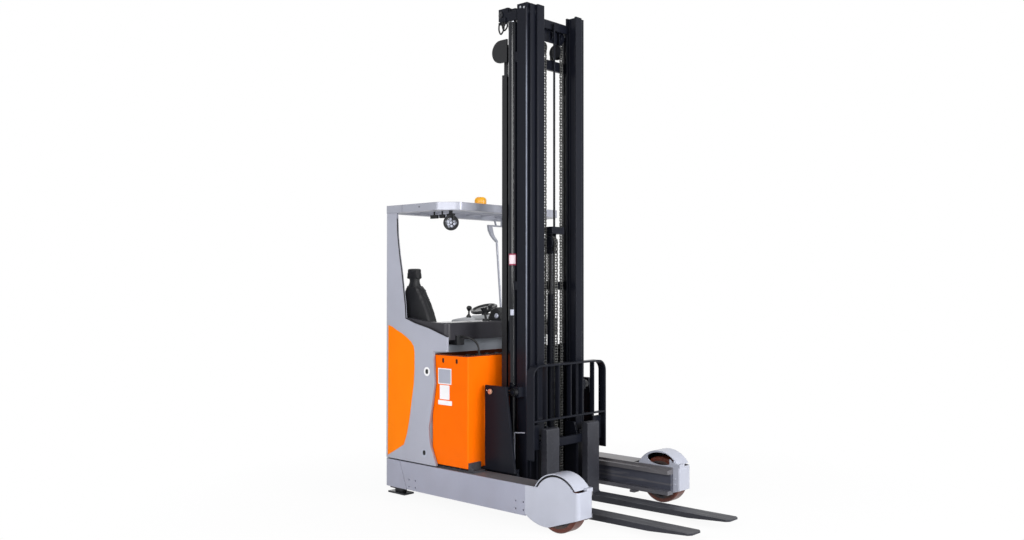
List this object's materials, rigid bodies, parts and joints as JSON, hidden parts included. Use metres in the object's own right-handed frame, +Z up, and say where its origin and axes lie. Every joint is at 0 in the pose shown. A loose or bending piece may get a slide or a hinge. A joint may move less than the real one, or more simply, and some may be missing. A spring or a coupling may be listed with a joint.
{
  "type": "reach truck",
  "caption": "Electric reach truck with a seated driver's cab, an orange battery between the cab and the mast, straddle arms with covered load wheels and a three-stage mast that rolls forward.",
  "frame": {"origin": "on the floor under the middle of the truck's length and width", "axes": "+X forward to the fork tips, +Y to the left, +Z up"},
  "size_m": [2.39, 1.27, 3.476],
  "materials": {
    "frame_paint": "satin",
    "silver_paint": "satin",
    "cover_paint": "satin",
    "mast_paint": "satin",
    "fork_steel": "satin",
    "battery_paint": "satin",
    "battery_jars": "matte",
    "polyurethane": "satin",
    "cast_hub": "matte",
    "guard_paint": "satin",
    "chain_steel": "satin",
    "bright_steel": "polished",
    "grey_panel": "satin",
    "hood_plastic": "satin",
    "black_plastic": "matte",
    "seat_cover": "matte",
    "motor_paint": "satin",
    "beacon_lens": "gloss",
    "cable_rubber": "matte"
  },
  "bodies": {
    "chassis": {"wheel_arms": "frame_paint", "side_skirts": "silver_paint", "load_axles": "bright_steel", "load_wheel_covers": "cover_paint", "rear_frame": "frame_paint", "rear_bumper": "silver_paint", "stabiliser_foot": "bright_steel", "battery_deck": "frame_paint", "battery_case": "battery_paint", "battery_cells": "battery_jars", "battery_locks": "frame_paint", "side_panel_right": "silver_paint", "side_panel_left": "silver_paint", "rear_panel": "grey_panel", "cab_frame": "grey_panel", "seat_plinth": "grey_panel", "console_hood": "hood_plastic", "seat_cushion": "seat_cover", "seat_suspension": "black_plastic", "seat_backrest": "seat_cover", "headrest": "seat_cover", "headrest_posts": "bright_steel", "front_console": "black_plastic", "joystick": "black_plastic", "display_pod": "black_plastic", "steering_column": "black_plastic", "battery_connector": "black_plastic", "battery_cable": "cable_rubber", "overhead_guard": "guard_paint", "beacon": "beacon_lens", "work_light": "black_plastic", "reach_cylinder": "mast_paint"},
    "drive_unit": {"drive_gearbox": "cast_hub", "drive_motor": "motor_paint"},
    "drive_wheel": {"drive_wheel_hub": "cast_hub", "drive_wheel_tyre": "polyurethane"},
    "load_wheel_right": {"load_wheel_hub_right": "cast_hub", "load_wheel_tyre_right": "polyurethane"},
    "load_wheel_left": {"load_wheel_hub_left": "cast_hub", "load_wheel_tyre_left": "polyurethane"},
    "steering_wheel": {"steering_wheel": "black_plastic"},
    "reach_carriage": {"reach_carriage": "mast_paint", "tilt_cylinders": "mast_paint", "reach_rod": "bright_steel"},
    "tilt_rods": {"tilt_rods": "bright_steel"},
    "outer_mast": {"outer_mast": "mast_paint", "lift_cylinders": "mast_paint", "hose_guard": "black_plastic"},
    "middle_mast": {"middle_mast": "mast_paint", "lift_rods": "bright_steel", "mast_chains": "chain_steel"},
    "inner_mast": {"inner_mast": "mast_paint", "free_lift_cylinder": "mast_paint"},
    "lift_crosshead": {"free_lift_rod": "bright_steel", "lift_crosshead": "mast_paint", "carriage_chains": "chain_steel"},
    "fork_carriage": {"fork_carriage": "mast_paint", "forks": "fork_steel", "load_backrest": "mast_paint"}
  },
  "joints": [
    {"name": "drive_steer", "type": "hinge", "parent": "chassis", "child": "drive_unit", "pos_m": [-0.96, 0.25, 0.465], "axis": [0, 0, 1], "range_deg": [-90, 90]},
    {"name": "drive_wheel_spin", "type": "hinge", "parent": "drive_unit", "child": "drive_wheel", "pos_m": [-0.96, 0.25, 0.18], "axis": [0, 1, 0], "continuous": true},
    {"name": "load_wheel_spin_right", "type": "hinge", "parent": "chassis", "child": "load_wheel_right", "pos_m": [0.445, -0.57, 0.16], "axis": [0, 1, 0], "continuous": true},
    {"name": "load_wheel_spin_left", "type": "hinge", "parent": "chassis", "child": "load_wheel_left", "pos_m": [0.445, 0.57, 0.16], "axis": [0, 1, 0], "continuous": true},
    {"name": "steering", "type": "hinge", "parent": "chassis", "child": "steering_wheel", "pos_m": [-1.025, 0.24, 1.345], "axis": [0, -0.309, 0.9511], "continuous": true},
    {"name": "mast_reach", "type": "slide", "parent": "chassis", "child": "reach_carriage", "axis": [1, 0, 0], "range_m": [0, 0.55]},
    {"name": "tilt_rod_slide", "type": "slide", "parent": "reach_carriage", "child": "tilt_rods", "axis": [1, 0, 0], "range_m": [-0.0235, 0.0118]},
    {"name": "mast_tilt", "type": "hinge", "parent": "reach_carriage", "child": "outer_mast", "pos_m": [-0.135, 0, 0.15], "axis": [0, 1, 0], "range_deg": [-2, 1]},
    {"name": "mast_lift", "type": "slide", "parent": "outer_mast", "child": "middle_mast", "axis": [0, 0, 1], "range_m": [0, 2.6]},
    {"name": "inner_lift", "type": "slide", "parent": "middle_mast", "child": "inner_mast", "axis": [0, 0, 1], "range_m": [0, 2.6], "deforming": ["mast_chains"]},
    {"name": "free_lift", "type": "slide", "parent": "inner_mast", "child": "lift_crosshead", "axis": [0, 0, 1], "range_m": [0, 1.2], "deforming": ["carriage_chains"]},
    {"name": "carriage_lift", "type": "slide", "parent": "lift_crosshead", "child": "fork_carriage", "axis": [0, 0, 1], "range_m": [0, 1.2]}
  ],
  "couplings": [
    {"joint": "tilt_rod_slide", "follows": "mast_tilt", "m_per_rad": 0.657},
    {"joint": "inner_lift", "follows": "mast_lift", "ratio": 1},
    {"joint": "carriage_lift", "follows": "free_lift", "ratio": 1}
  ]
}
